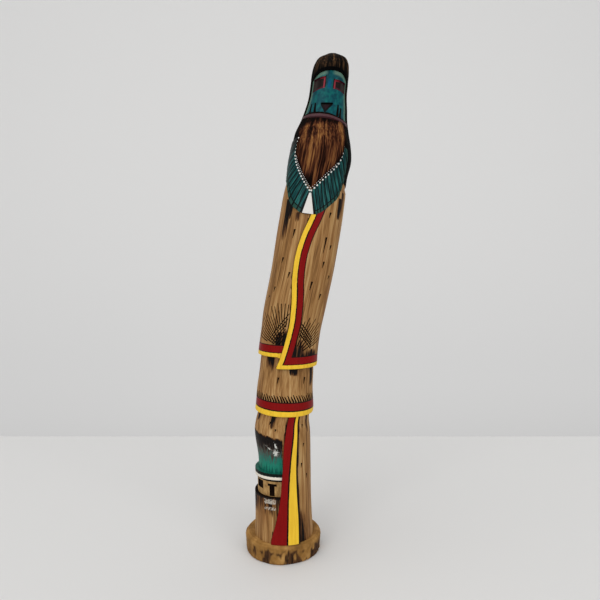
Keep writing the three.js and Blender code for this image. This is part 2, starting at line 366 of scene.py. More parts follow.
for name, low, top, rows, depth in (
        ("cave", level(ROOF_TOP), cave_top, 44, cave_depth),
        ("roof", level(ROOF_BASE - SEAM), level(ROOF_TOP + SEAM), 4, lambda a, p: ROOF_CUT),
        ("wall", level(GROUND), level(ROOF_BASE), 12, lambda a, p: WALL_CUT)):
    cutter = sunk(column, around(HOUSE_FROM, HOUSE_TO, low, top), 84, rows, depth)
    walls = "cave_paint" if name == "cave" else "burned_line"
    carve(figure, as_object(cutter, name, name + "_paint", walls), "DIFFERENCE")

# %% The window and the door of the house
OPENING_CUT = WALL_CUT + 1.3
for name, start, end, low, top in (
        ("window", -71, -47, 10.2, 11.8), ("lintel", -33.5, -12, 11.05, 11.5),
        ("door", -29, -17, GROUND + SEAM, 11.3)):
    opening = sunk(
        column, around(start, end, level(low), level(top)), 6, 3, lambda a, p: OPENING_CUT)
    carve(figure, as_object(opening, name, "burned_line", "burned_line"), "DIFFERENCE")

# %% The sash
SASH_STEP = 2.2
SASH_FLARE = 1.0
SASH_TOP = 26.5
sash_left = through(
    (0, -21.6), (4.6, -11.5), (8.9, -3), (12.4, 0), (14.7, 2.3), (19.2, 4.5), (25, 12))
sash_right = through((0, 32), (4.4, 32.7), (14.5, 31), (20, 33.4), (25, 36))
sash = raised(
    column, between(sash_left, sash_right, 0, SASH_TOP), 22, 90,
    lambda a, p: SASH_STEP + SASH_FLARE * (1 - smoothstep(p, 0, 12)))
carve(figure, as_object(sash, "sash", "sash_paint", "burned_line"), "UNION")

# %% [markdown]
# ## The skirt and the robe
# Both are layers that stand proud of the one below and end in a hem. The upper flap of the robe
# is drawn across the front and sinks back into the robe towards the figure's back.

# %% The skirt
HEM_TILT = 0.9  # percent by which every hem is higher at the back than in front
SKIRT_TOP = 38
skirt_run = through((-180, 24.5), (-90, 25.4), (0, 25.1), (90, 24.8), (180, 24.5))


def hem_tilt(angle):
    return HEM_TILT * (1 - math.cos(math.radians(angle))) / 2


def skirt_hem(angle):
    return skirt_run(angle) + hem_tilt(angle)


skirt_tube = tube(skirt, skirt_hem, SKIRT_TOP, 110, 34)
carve(figure, as_object(skirt_tube, "skirt", "skirt_paint"), "UNION")

# %% The robe
ROBE_TOP = 76
LOWER_FLAP_HEM = 36.9
UPPER_FLAP_HEM = 34.7
HEM_CORNER = -18


def robe_hem(angle):
    """The hem is higher on the figure's right, where only the lower flap hangs."""
    if angle < HEM_CORNER:
        lowered = 1 - smoothstep(angle, -240, -120)
    else:
        lowered = smoothstep(angle, HEM_CORNER + 4, HEM_CORNER + 20) - smoothstep(angle, 120, 240)
    return lerp(LOWER_FLAP_HEM, UPPER_FLAP_HEM, lowered) + hem_tilt(angle)


carve(figure, as_object(tube(robe, robe_hem, ROBE_TOP, 120, 96), "robe", "robe_paint"), "UNION")

# %% The upper flap
FLAP_STEP = 2.0
FLAP_LOW = UPPER_FLAP_HEM - 0.1
FLAP_TOP = 74.5
FLAP_END = 128
flap_edge = through(
    (FLAP_LOW, HEM_CORNER), (36.4, -12.6), (38.9, -7.4), (41, -4.8), (43.4, -3), (46.7, -5),
    (49, -8), (51.6, -12.5), (54, -15), (56.4, -15.6), (58.8, -13.7), (61.5, -9), (64.5, -1),
    (68, 5))


def flap_step(angle, percent):
    """The flap sinks into the robe towards the back and under the hair at the shoulder."""
    under_hair = smoothstep(percent, 69.5, 72) * smoothstep(angle, 38, 58)
    return FLAP_STEP - (FLAP_STEP + 1) * max(smoothstep(angle, 60, FLAP_END), under_hair)


def flap_place(across, up):
    percent = lerp(FLAP_LOW, FLAP_TOP, up)
    angle = lerp(flap_edge(percent), FLAP_END, across)
    return angle, percent + hem_tilt(angle) * (1 - up)


flap = raised(robe, flap_place, 64, 110, flap_step, round_off=HEM_ROUND)
carve(figure, as_object(flap, "flap", "flap_paint", "burned_line"), "UNION")

# %% [markdown]
# ## Hair, collar, beard and mask
# The mantle of hair covers the shoulders and the head. Combed hair is carved as long grooves of
# uneven width, which noise stretched along the root gives. The collar is made of feathers that
# spread from the row of beads, so its block is laid along them, one strip to a feather.

# %% Combed grooves
STRAND = 1.5  # millimetres from groove to groove
LOCK = 5.0  # and from one lock of hair to the next
STRAND_LENGTH = 45


def combed(depth, seed):
    """Grooves along the root, deeper between locks."""
    def relief(angle, percent):
        x = FIGURE_WIDTH / 2 * math.sin(math.radians(angle))
        y = FIGURE_WIDTH / 2 * math.cos(math.radians(angle))
        z = high(percent) / STRAND_LENGTH
        fine = noise.noise(Vector((x / STRAND, y / STRAND, z + seed)))
        broad = noise.noise(Vector((x / LOCK, y / LOCK, z / 2 + seed)))
        return depth * (0.6 * fine + 0.5 * broad)
    return relief

# %% The mantle of hair
HAIR_DEPTH = 0.5
CROWN_FALL = 0.35  # slope of the crown towards the face
hair_hem = through(
    (-180, 72.4), (-90, 73.2), (0, 73.6), (35, 73.2), (55, 72.4), (75, 71.8), (100, 71.7),
    (135, 72), (180, 72.4))
hair = combed(HAIR_DEPTH, 3)
mantle_tube = tube(
    mantle, hair_hem, 100, 250, 110, crowding=1.5,
    fall=lambda percent: CROWN_FALL * smoothstep(percent, 95.5, 99),
    relief=lambda a, p: hair(a, p) * (1 - 0.7 * smoothstep(p, 97, 100)))
carve(figure, as_object(mantle_tube, "mantle", "combed_hair"), "UNION")

# %% The feather collar
COLLAR_STEP = 2.4
LEFT_FEATHERS = 12
RIGHT_FEATHERS = 12
FEATHERS = LEFT_FEATHERS + 1 + RIGHT_FEATHERS
STRIP_COLUMNS = 6
GROOVE = 0.35
rim_angle = through(
    (0, -84), (1, -91), (2, -89), (3, -80), (5, -67), (7, -55.5), (9, -45), (10, -36),
    (11, -26), (12, -18), (13, 6.5), (14, 11.5), (16, 21), (18, 33), (20, 45), (22, 53.5),
    (23, 56), (24, 54), (25, 48))
rim_percent = through(
    (0, 80.8), (1, 78.2), (2, 76.5), (3, 75), (5, 72.9), (7, 70.9), (9, 68.4), (10, 67),
    (11, 66.1), (12, 65.5), (13, 65.05), (14, 65.2), (16, 65.9), (18, 67.2), (20, 68.7),
    (22, 71.3), (23, 73), (24, 75.4), (25, 78.5))
bead_angle = through(
    (0, -45), (3, -47), (5, -42), (7, -34), (9, -24.5), (10, -19), (12, -8), (13, -5.5),
    (14, 0), (16, 8), (18, 17.5), (20, 26.5), (22, 34), (25, 39.5))
bead_percent = through(
    (0, 81.2), (3, 77.6), (5, 75.7), (7, 74.1), (9, 72.4), (10, 71.5), (12, 69.8), (13, 69.8),
    (14, 70.4), (16, 71.5), (18, 72.8), (20, 74), (22, 75.4), (25, 79))


def shoulders(percent):
    """The collar runs from the hair at the shoulders down over the robe in front."""
    return max(robe(percent), mantle(percent))


def feather_place(across, up):
    strip = across * FEATHERS
    return (lerp(rim_angle(strip), bead_angle(strip), up),
            lerp(rim_percent(strip), bead_percent(strip), up))


def collar_step(angle):
    """The collar is thin where it comes round the shoulder."""
    return COLLAR_STEP * (1 - 0.45 * smoothstep(-angle, 45, 85))


def feather_groove(across):
    """The groove between one feather and the next, in millimetres."""
    strip = across * FEATHERS
    return -GROOVE * (1 - smoothstep(abs(strip - round(strip)) * STRIP_COLUMNS, 0, 1))


collar = bmesh.new()
collar_ground = surface(shoulders)
collar_across = {}


def collar_face(across, up):
    angle, percent = feather_place(across, up)
    collar_across[(round(angle, 5), round(percent, 5))] = across
    return angle, percent


def collar_outer(angle, percent):
    across = collar_across[(round(angle, 5), round(percent, 5))]
    return collar_ground(angle, percent) + collar_step(angle) + feather_groove(across)


_, _, collar_sides = block(
    collar, collar_face, FEATHERS * STRIP_COLUMNS, 14,
    lambda a, p: BURIED * collar_ground(a, p), collar_outer)
for f in collar_sides:
    f.material_index = 1
carve(figure, as_object(collar, "collar", "feather_collar", "burned_line"), "UNION")

# %% The beard
BEARD_STEP = 1.3
BEARD_DEPTH = 0.55
BEARD_LOW = 70.3
CHIN = 84.5
beard_left = through(
    (BEARD_LOW, -6), (71.2, -15), (73.1, -27), (75.1, -37), (77, -45), (80.1, -49), (CHIN, -60))
beard_right = through(
    (BEARD_LOW, -3), (71.2, 4), (73.1, 18.5), (75.3, 31), (77.4, 37.5), (79.6, 41), (CHIN, 50))
CHIN_SLOPE = 0.012  # percent by which the chin is lower for each degree to the figure's left


def beard_place(across, up):
    percent = lerp(BEARD_LOW, CHIN, up)
    angle = lerp(beard_left(percent), beard_right(percent), across)
    return angle, percent - CHIN_SLOPE * angle * up


beard = raised(
    mantle, beard_place, 120, 60,
    lambda a, p: BEARD_STEP + COLLAR_STEP * (1 - smoothstep(p, 79, CHIN)),
    relief=combed(BEARD_DEPTH, 11))
carve(figure, as_object(beard, "beard", "combed_beard", "burned_line"), "UNION")

# %% The mask, with its eyes and mouth
MASK_CUT = 1.5
EYE_CUT = 2.0
MOUTH_CUT = 1.6
MASK_SIDE = 68
mask_low = through((-MASK_SIDE, 85.9), (0, 85.5), (MASK_SIDE, 84.4))
mask_high = through(
    (-MASK_SIDE, 93.5), (-35, 94.5), (0, 94.8), (35, 94.5), (MASK_SIDE, 93.5))
EYES = ((-60, -14.5, 91.5, 93.75), (15, 62, 91.3, 93.1))  # from, to, and percent if in front
LOWER_DROOP = 0.012  # percent lower for each degree round the head
UPPER_DROOP = 0.004
MOUTH_LOW = 85.7
MOUTH_HIGH = 88.1
mouth_left = through((MOUTH_LOW, -3), (MOUTH_HIGH, -18))
mouth_right = through((MOUTH_LOW, -1), (MOUTH_HIGH, 18))


def eye_at(percent, droop):
    return lambda angle: percent - droop * abs(angle)


CHIN_BAND = 0.95  # percent from its lower edge to the mask
CHIN_STEP = 0.7
CHIN_LINE = 0.5  # percent, the black line burned above it
CHIN_SIDE = 65
chin = raised(
    mantle, around(-CHIN_SIDE, CHIN_SIDE, lambda a: mask_low(a) - CHIN_BAND, mask_low), 50, 4,
    lambda a, p: CHIN_STEP)
carve(figure, as_object(chin, "chin", "chin_paint", "chin_paint"), "UNION")
mask = sunk(
    mantle, around(-MASK_SIDE, MASK_SIDE, mask_low, mask_high), 60, 50, lambda a, p: MASK_CUT)
carve(figure, as_object(mask, "mask", "turquoise_mask", "burned_line"), "DIFFERENCE")
mouth = sunk(
    mantle, between(mouth_left, mouth_right, MOUTH_LOW, MOUTH_HIGH), 8, 8,
    lambda a, p: MASK_CUT + MOUTH_CUT)
carve(figure, as_object(mouth, "mouth", "mouth_paint", "burned_line"), "DIFFERENCE")
for start, end, low, top in EYES:
    eye = sunk(
        mantle, around(start, end, eye_at(low, LOWER_DROOP), eye_at(top, UPPER_DROOP)), 20, 8,
        lambda a, p: MASK_CUT + EYE_CUT)
    carve(figure, as_object(eye, "eye", "eye_paint", "eye_paint"), "DIFFERENCE")

# %% [markdown]
# ## Beads and burned lines
# The beads are drops of white paint that stand up like small domes, so each is a little ball
# sunk to its middle. The burned lines are real grooves, because a hot pen presses into the wood:
# each is a slim cutter with a narrow floor, thick where the pen was set down and thin where it
# was lifted. Lines that cross are cut in two passes, so that no cutter runs through another.

# %% Beads
BEAD_SIZE = 2.2
BEAD_SPACING = 4.1
SEED_SIZE = 0.9
SEED_SPACING = 2.5


def bead_row(first, last, size, spacing, inward, lift):
    """Beads from strip to strip along the collar's inner edge, inward millimetres from it."""
    bm = bmesh.new()
    strip, travelled = first, spacing
    before = None
    while strip < last:
        here = Vector((bead_angle(strip) * ARC, bead_percent(strip) * RISE))
        travelled += (here - before).length if before else 0
        before = here
        if travelled >= spacing:
            travelled = 0
            rim = Vector((rim_angle(strip) * ARC, rim_percent(strip) * RISE))
            place = here + (here - rim).normalized() * inward
            angle, percent = place.x / ARC, place.y / RISE
            ground = collar_ground(angle, percent) + collar_step(angle) + lift
            centre = point(angle, percent, ground + knife_wave(angle, percent) + size * 0.1)
            ball = bmesh.ops.create_uvsphere(bm, u_segments=8, v_segments=6, radius=size / 2 * MM)
            bmesh.ops.translate(bm, verts=ball["verts"], vec=centre)
        strip += 0.02
    return bm


for name, first, last in (
        ("beads", 0.8, 12), ("beads", 13, 24.7), ("seeds", 4, 12), ("seeds", 13, 21.5)):
    if name == "beads":
        row = bead_row(first, last, BEAD_SIZE, BEAD_SPACING, -0.3, 0.0)
    else:
        row = bead_row(first, last, SEED_SIZE, SEED_SPACING, 2.4, BEARD_STEP)
    carve(figure, as_object(row, name, "bead_paint"), "UNION")

# %% Burned strokes
STROKE_DEPTH = 0.45
PEN_CLEAR = 0.2  # a pen's cutter starts this far outside the surface
pen = random.Random(5)


def skin(angle, percent):
    """How far out the robe, the skirt or the column is where a stroke is burned."""
    if percent > LOWER_FLAP_HEM or (percent > UPPER_FLAP_HEM and angle > HEM_CORNER):
        on_flap = flap_edge(percent) < angle < FLAP_END
        return surface(robe)(angle, percent) + (flap_step(angle, percent) if on_flap else 0)
    return surface(skirt if percent > skirt_hem(angle) else column)(angle, percent)


def stroke(bm, start, end, width, tail=0.25, steps=6, ground=skin, depth=STROKE_DEPTH):
    """A burned line from start to end, both (degrees, percent), thick at its start."""
    run = Vector(((end[0] - start[0]) * ARC, (end[1] - start[1]) * RISE))
    side = Vector((run.y, -run.x)).normalized()

    def place(across, up):
        wide = (across - 0.5) * width * lerp(1, tail, up)
        return (lerp(start[0], end[0], up) + wide * side.x / ARC,
                lerp(start[1], end[1], up) + wide * side.y / RISE)
    block(bm, place, 1, steps, lambda a, p: ground(a, p) - depth,
          lambda a, p: ground(a, p) + PEN_CLEAR, floor_share=0.4)


def burn(bm, name):
    carve(figure, as_object(bm, name, "burned_line"), "DIFFERENCE")

# %% Dashes, like the marks of a knot in the wood
DASH_WIDTH = 3.2
DASHES = (  # degrees, percent, length in millimetres
    (-25, 62.3, 10.5), (-39.5, 56.8, 7), (-21.5, 53.8, 7), (-46, 51, 6.2), (-57.7, 49.2, 3),
    (34.6, 65.6, 6.5), (33.5, 60.7, 19), (46, 59.2, 5.5), (37, 55.9, 8), (56, 53.2, 4.5),
    (22, 51.9, 10), (44, 49.5, 7), (-14.5, 32.9, 8), (42, 32.8, 8), (47, 23.3, 5),
    (47.7, 19.5, 4.5), (42.3, 15.6, 5.5), (56.5, 13.2, 5.5), (-25, 24, 4), (-12, 22.6, 3),
    (105, 66, 8), (130, 58, 7), (165, 63, 9), (-150, 56, 8), (-110, 61, 9), (-125, 48, 7),
    (150, 46, 8), (-170, 33, 7), (120, 32.5, 7), (-95, 32.6, 8), (140, 20, 7), (170, 12, 8))
dashes = bmesh.new()
for angle, percent, length in DASHES:
    stroke(dashes, (angle, percent), (angle - 1.5, percent - length / RISE), DASH_WIDTH, tail=0.2)
burn(dashes, "dashes")

# %% Fans of thin lines over both hems of the robe, and the lines across them
FAN_WIDTH = 1.7


def fan(centre, first, last, count, reach):
    """Lines that spread from a centre, between two directions in degrees."""
    bm = bmesh.new()
    for i in range(count):
        direction = math.radians(lerp(first, last, i / (count - 1)))
        near = reach * (0.28 if i % 2 else 0.5)
        far = reach * (1 + 0.12 * pen.uniform(-1, 1))
        ends = [(centre[0] + out * math.cos(direction) / ARC,
                 centre[1] + out * math.sin(direction) / RISE) for out in (near, far)]
        stroke(bm, *ends, FAN_WIDTH, tail=0.7, steps=10)
    burn(bm, "fan")


def hatch(start, end, step, count, shorter=0.0):
    """Lines side by side from start to end, each moved on by step and cut shorter."""
    bm = bmesh.new()
    for i in range(count):
        a, b = start[0] + step[0] * i, end[0] + step[0] * i
        p, q = start[1] + step[1] * i, end[1] + step[1] * i
        share = 1 - shorter * i
        stroke(bm, (a, p), (lerp(a, b, share), lerp(p, q, share)), FAN_WIDTH, tail=0.8, steps=10)
    burn(bm, "hatch")


fan((-8, 38.6), 92, 160, 15, 50)
fan((12, 37), 28, 84, 12, 46)
hatch((-40, 40.4), (-6.5, 45.6), (4.3, -0.22), 6, shorter=0.15)
hatch((19.5, 43.5), (46, 40.4), (-0.5, -0.62), 4)

# %% The fringe over the skirt's bands
FRINGE_FOOT = 16.8  # millimetres over the hem
FRINGE_LENGTH = 7.6
FRINGE_SLANT = 5.5  # degrees from its foot to its tip
FRINGE_COUNT = 64
FRINGE_WIDTH = 3.1
fringe = bmesh.new()
for i in range(FRINGE_COUNT):
    angle = 360 * (i + 0.1 * pen.uniform(-1, 1)) / FRINGE_COUNT - 178
    foot = skirt_hem(angle) + FRINGE_FOOT / RISE
    tip = foot + FRINGE_LENGTH * (1 + 0.15 * pen.uniform(-1, 1)) / RISE
    stroke(fringe, (angle, foot), (angle - FRINGE_SLANT, tip), FRINGE_WIDTH, tail=0.45, steps=4)
burn(fringe, "fringe")

# %% Lines on the cheeks of the mask, above the chin band and beside the eyes
CHEEK_LINES = (
    ((-45.5, 86.2), (-48.7, 88.3)), ((-29.5, 86.0), (-35.7, 88.3)),
    ((33.3, 85.4), (33.7, 87.8)), ((41, 85.2), (44.4, 87.3)))
CHEEK_WIDTH = 6.0  # before the head's slimness makes it narrower
EYE_LINE = 2.2


def mask_floor(angle, percent):
    return surface(mantle)(angle, percent) - MASK_CUT


cheeks = bmesh.new()
for start, end in CHEEK_LINES:
    stroke(cheeks, start, end, CHEEK_WIDTH, tail=0.6, ground=mask_floor)
burn(cheeks, "cheeks")
edges = bmesh.new()
for start, end, low, top in EYES:
    near, far = sorted((start, end), key=abs)
    beside_eye = near - math.copysign(1.2, near)
    foot, head = (beside_eye, low - 0.1), (beside_eye, top + 0.1)
    stroke(edges, foot, head, EYE_LINE, tail=0.9, ground=mask_floor)
burn(edges, "eye_edges")
chin_line = sunk(
    mantle, around(-MASK_SIDE, MASK_SIDE, mask_low, lambda a: mask_low(a) + CHIN_LINE), 60, 1,
    lambda a, p: MASK_CUT + 0.4)
carve(figure, as_object(chin_line, "chin_line", "burned_line", "burned_line"), "DIFFERENCE")

# %% [markdown]
# ## The slice of branch
# A slice sawn from a branch, with its rims worn and most of its bark gone. Its profile is spun
# round the middle, and its edge is then waved, because no branch is quite round.

# %% The slice
SLICE_WIDTH = 92
SLICE_DEPTH = 92
SLICE_RIM = 2.6
SLICE_HEEL = 1.8
SLICE_TAPER = 1.2
BARK_WAVES = ((2, 0.007, 250), (3, 0.01, 110), (5, 0.006, 20), (9, 0.004, 75))
SLICE_STEPS = 340
BARK_DEPTH = 0.9  # the bark's dark patches lie this much deeper than the worn wood
BARK_FIBRES = 0.35
BARK_PATCHES = (  # degrees round the slice, and half their width
    (14, 13), (-22, 7), (-46, 2.5), (68, 15), (108, 10), (150, 20), (-165, 14), (-122, 14),
    (-88, 8))


def bark_swell(angle):
    return 1 + sum(share * math.cos(math.radians(count * angle + phase))
                   for count, share, phase in BARK_WAVES)


def bark_patch(angle, z):
    """1 where dark bark is left on the slice's edge, 0 where the wood under it shows."""
    x, y = math.sin(math.radians(angle)), math.cos(math.radians(angle))
    aside = min(abs((angle - at + 180) % 360 - 180) / half_width for at, half_width in BARK_PATCHES)
    ragged = noise.noise(Vector((x * 11, y * 11, z / 9)))
    under_rim = 1 - smoothstep(z + 5 * ragged, FOOT - 8.5, FOOT - 4)
    return smoothstep(1.2 - aside + 1.6 * ragged, 0, 0.6) * under_rim


half = SLICE_WIDTH / 2
profile = (
    (0, 0), (half - SLICE_TAPER - SLICE_HEEL, 0), (half - SLICE_TAPER, SLICE_HEEL),
    (half - SLICE_TAPER / 2, FOOT / 2), (half, FOOT - SLICE_RIM), (half - SLICE_RIM, FOOT),
    (0, FOOT))
branch = bmesh.new()
corners = [branch.verts.new((outward, 0, z)) for outward, z in profile]
edges = [branch.edges.new(pair) for pair in zip(corners, corners[1:])]
bmesh.ops.bevel(
    branch, geom=corners[1:-1], offset=0.9, segments=3, profile=0.5, affect="VERTICES", material=-1)
for e in branch.edges[:]:
    cuts = min(int(e.calc_length() / 1.3), 16)
    if cuts:
        bmesh.ops.subdivide_edges(branch, edges=[e], cuts=cuts)
bmesh.ops.spin(
    branch, geom=branch.verts[:] + branch.edges[:], axis=(0, 0, 1), cent=(0, 0, 0),
    angle=math.tau, steps=SLICE_STEPS, use_merge=True)
bmesh.ops.remove_doubles(branch, verts=branch.verts, dist=0.001)
for v in branch.verts:
    x, y, z = v.co
    angle = math.degrees(math.atan2(x, -y))
    swell = bark_swell(angle)
    outward = math.hypot(x, y)
    on_edge = smoothstep(outward, half - 6, half - 3) * smoothstep(z, 0, SLICE_HEEL)
    on_edge *= 1 - smoothstep(z, FOOT - SLICE_RIM, FOOT)
    fibre = noise.noise(Vector((x / 1.7, y / 1.7, z / 14)))
    cut = on_edge * (BARK_DEPTH * bark_patch(angle, z) + BARK_FIBRES * (0.5 + fibre))
    swell *= 1 - cut / max(outward, 1)
    v.co = Vector((x * swell, y * swell * SLICE_DEPTH / SLICE_WIDTH, z)) * MM
bmesh.ops.recalc_face_normals(branch, faces=branch.faces)
slice_piece = as_object(branch, "branch_slice", "sawn_branch")
print("slice:", len(slice_piece.data.polygons), "faces")

# %% [markdown]
# ## Maps for the paint
# The paint follows the carving, so each corner of each face gets two sets of numbers. `straight`
# is its place in millimetres as if the root had not bent, which keeps the grain running along
# it. `trim` is what the finish there needs, such as how far a place is above its hem, and how
# dark it is made by burns and, in a few places, by painted shade. They are worked out from the
# functions that shaped the carving.

# %% Places of the burned smudges
def drop(value, start, length):
    """1 just below start, fading to 0 over a length in millimetres, and 0 above."""
    below = (start - value) * RISE
    return 0.0 if below < -0.5 else max(0.0, 1 - (max(below, 0) / length) ** 2)


SMUDGES = (  # degrees, percent, half width and length in millimetres, strength
    (-36, 37, 6, 17, 0.95), (-30, 37, 2.5, 21, 0.7), (19, 34.8, 3.6, 10.5, 1.2),
    (10.5, 34.8, 1.8, 9, 0.62),
    (64, 35, 4, 26, 0.9), (30, 34.8, 2, 10, 0.45),
    (-47, 68.6, 3.2, 52, 0.95), (-37, 67, 2, 16, 0.8), (53, 68.6, 2.2, 26, 0.8),
    (-24, 65.6, 2, 12, 0.55), (60, 70, 2, 34, 0.7),
    (-19, 25.3, 3, 17, 0.75), (-62, 25.3, 3, 9, 0.9), (60, 24.9, 2, 22, 0.7),
    (120, 36, 4, 20, 0.7), (170, 35.5, 4, 24, 0.8), (-120, 36.5, 4, 22, 0.8),
    (-100, 72.8, 4, 40, 0.8), (130, 72.6, 4, 46, 0.8), (175, 72.4, 5, 38, 0.9),
    (-145, 72.6, 4, 50, 0.8), (140, 24.9, 4, 20, 0.7), (-160, 25, 5, 24, 0.8))


def smudged(angle, percent):
    amount = 0.0
    for at, top, half_width, length, strength in SMUDGES:
        aside = (angle - at) * ARC / half_width
        if abs(aside) < 2.5:
            across = 1 - smoothstep(abs(aside), 0.7, 1.5)
            amount = max(amount, strength * across * drop(percent, top, length))
    return amount

# %% What the bare root and the skirt need to know about a place
EDGE_BURN = 1.3  # width in millimetres of the line burned beside a raised edge


def beside(distance, width=EDGE_BURN):
    """1 beside an edge, 0 from a width away, and 0 on its other side."""
    return 0.0 if distance < -0.3 else 1 - smoothstep(distance, width * 0.5, width * 1.3)


def root_trim(angle, percent):
    right, left = sash_right(percent), sash_left(percent)
    burned = smudged(angle, percent)
    if percent < SASH_TOP:
        burned = max(
            burned, 0.8 * beside((angle - right) * ARC, 1.0), 0.4 * beside((left - angle) * ARC))
        foot = 1 - smoothstep(percent, 0, 8)
        burned = max(burned, foot * (1 - smoothstep(angle, right + 1, right + 26))
                     * (angle > right))
    if HOUSE_FROM < angle < HOUSE_TO and percent <= GROUND + SEAM:
        below = GROUND - percent
        burned = max(burned, 1 - smoothstep(below, 0, 0.5), 0.5 * (1 - smoothstep(below, 0.5, 5)))
        rooms = max(smoothstep(percent, 7.6, 7.8) * (1 - smoothstep(percent, 8.6, 8.8)),
                    0.92 * smoothstep(percent, 6.3, 6.6) * (1 - smoothstep(percent, 7.1, 7.4)))
        rooms *= smoothstep(angle, -41, -36) * (1 - smoothstep(angle, -14, -10))
    else:
        rooms = 0.0
    above_cave = (percent - cave_top(angle)) * RISE
    if HOUSE_FROM < angle < HOUSE_TO and percent > GROUND:
        burned = max(burned, 1 - smoothstep(above_cave, -1, 3.5))
    return rooms, 0.0, burned


def skirt_trim(angle, percent):
    return 99.0, (percent - skirt_hem(angle)) * RISE, smudged(angle, percent)

# %% What the robe and its flap need to know
FAN_SHADE = 0.75


def fan_shade(angle, percent, centre, reach):
    away = math.hypot((angle - centre[0]) * ARC, (percent - centre[1]) * RISE)
    return FAN_SHADE * (1 - smoothstep(away, reach * 0.15, reach))


def robe_trim(angle, percent):
    # Beside the flap's left edge the robe is darkened as painted shade from the overlapping flap.
    # The smudges and the fan's wash are burns.
    burned = max(
        smudged(angle, percent), 0.45 * beside((flap_edge(percent) - angle) * ARC, 1.0),
        fan_shade(angle, percent, (-9, 39.4), 21))
    hem = LOWER_FLAP_HEM + hem_tilt(angle) if abs(angle - HEM_CORNER) < 30 else robe_hem(angle)
    return 99.0, (percent - hem) * RISE, burned


# Millimetres from the flap's side edge, and where the same band is over its hem
SIDE_BAND = ((0, 0), (5.3, 4.6), (6.9, 5.5), (12.5, 13.3), (13.7, 14.3), (99, 99.6))


def flap_trim(angle, percent):
    slope = (flap_edge(percent + 0.5) - flap_edge(percent - 0.5)) * ARC / RISE
    aside = max((angle - flap_edge(percent)) * ARC / math.hypot(1, slope), 0.0)
    for (low, low_value), (top, top_value) in zip(SIDE_BAND, SIDE_BAND[1:]):
        if low <= aside <= top:
            band = lerp(low_value, top_value, (aside - low) / (top - low))
            break
    else:
        band = aside
    over_band = (percent - FLAP_LOW - hem_tilt(angle)) * RISE - 14.3
    low_shade = 0.7 * (1 - smoothstep(over_band, 0, 10)) * (1 - smoothstep(angle, 45, 68))
    burned = max(smudged(angle, percent), fan_shade(angle, percent, (13, 37.6), 23), low_shade)
    return band, (percent - FLAP_LOW - hem_tilt(angle)) * RISE, burned

# %% What the sash needs to know
sash_line = through(
    (0, 8), (4.6, 9.6), (8.7, 11.5), (13.2, 14.4), (17.8, 18.6), (22.3, 24), (25, 26))


def sash_trim(angle, percent):
    return (angle - sash_line(percent)) * ARC, percent * RISE, (sash_right(percent) - angle) * ARC

# %% What the mask, its eyes, its mouth and the chin band need to know
HEAD_ARC = math.radians(23)  # millimetres round the head for one degree


def mask_trim(angle, percent):
    inside = min((MASK_SIDE - abs(angle)) * HEAD_ARC, (mask_high(angle) - percent) * RISE)
    return angle * HEAD_ARC, (percent - EYES[0][2]) * RISE, inside


def eye_trim(angle, percent):
    """How far a place is from the eye's inner side, its lower edge and its upper edge."""
    start, end, low, top = EYES[angle > 0]
    near = min(abs(start), abs(end))
    return ((abs(angle) - near) * HEAD_ARC, (percent - eye_at(low, LOWER_DROOP)(angle)) * RISE,
            (eye_at(top, UPPER_DROOP)(angle) - percent) * RISE)


def mouth_trim(angle, percent):
    inside = min((angle - mouth_left(percent)), (mouth_right(percent) - angle)) * HEAD_ARC * 0.8
    return min(inside, (MOUTH_HIGH - percent) * RISE), 0.0, 0.0


def chin_trim(angle, percent):
    return angle * HEAD_ARC, (percent - mask_low(angle) + CHIN_BAND) * RISE, 0.0

# %% What the hair, the beard and the collar need to know
def hair_trim(angle, percent):
    outside = max((abs(angle) - MASK_SIDE) * HEAD_ARC, (percent - mask_high(angle)) * RISE,
                  (mask_low(angle) - percent) * RISE)
    crown = smoothstep(percent, 93, 96.5) * (1 - 0.5 * smoothstep(abs(angle), 100, 150))
    darkness = 1 - 0.75 * crown
    return outside, darkness, hair(angle, percent) / HAIR_DEPTH


beard_relief = combed(BEARD_DEPTH, 11)


def beard_trim(angle, percent):
    side = min(angle - beard_left(percent), beard_right(percent) - angle) * ARC
    dark = max(1 - smoothstep((CHIN - percent) * RISE, 0, 9), 0.75 * (1 - smoothstep(side, 0, 5)),
               0.6 * (1 - smoothstep(percent, 70.5, 74)))
    return side, dark, beard_relief(angle, percent) / BEARD_DEPTH


def collar_trim(angle, percent):
    """The strip that a place is on, found by halving, as every strip runs from rim to beads."""
    low, top = 0.0, float(FEATHERS)
    here = Vector((angle * ARC, percent * RISE))
    for _ in range(14):
        strip = (low + top) / 2
        rim = Vector((rim_angle(strip) * ARC, rim_percent(strip) * RISE))
        bead = Vector((bead_angle(strip) * ARC, bead_percent(strip) * RISE))
        along = bead - rim
        if along.cross(here - rim) < 0:
            low = strip
        else:
            top = strip
    return strip, (here - rim).length, (bead - here).length

# %% What the cave and the house need to know
def cave_trim(angle, percent):
    share = (percent - ROOF_TOP) / (cave_top(angle) - ROOF_TOP)
    slanted, sloping = angle + 13.5 + (percent - 20) * 2, percent - 18.6 + (angle + 25) * 0.055
    splash = max(
        math.exp(-((angle + 13) / 7) ** 2 - ((percent - 17.8) / 0.8) ** 2),
        0.8 * math.exp(-(slanted / 3) ** 2 - ((percent - 19.3) / 0.9) ** 2),
        0.7 * math.exp(-(sloping / 0.35) ** 2 - ((angle + 25) / 12) ** 2))
    return angle * ARC, share, splash


def roof_trim(angle, percent):
    return angle * ARC, (percent - ROOF_BASE) * RISE, 0.0


def wall_trim(angle, percent):
    return angle * ARC, (ROOF_BASE - percent) * RISE, (percent - GROUND) * RISE

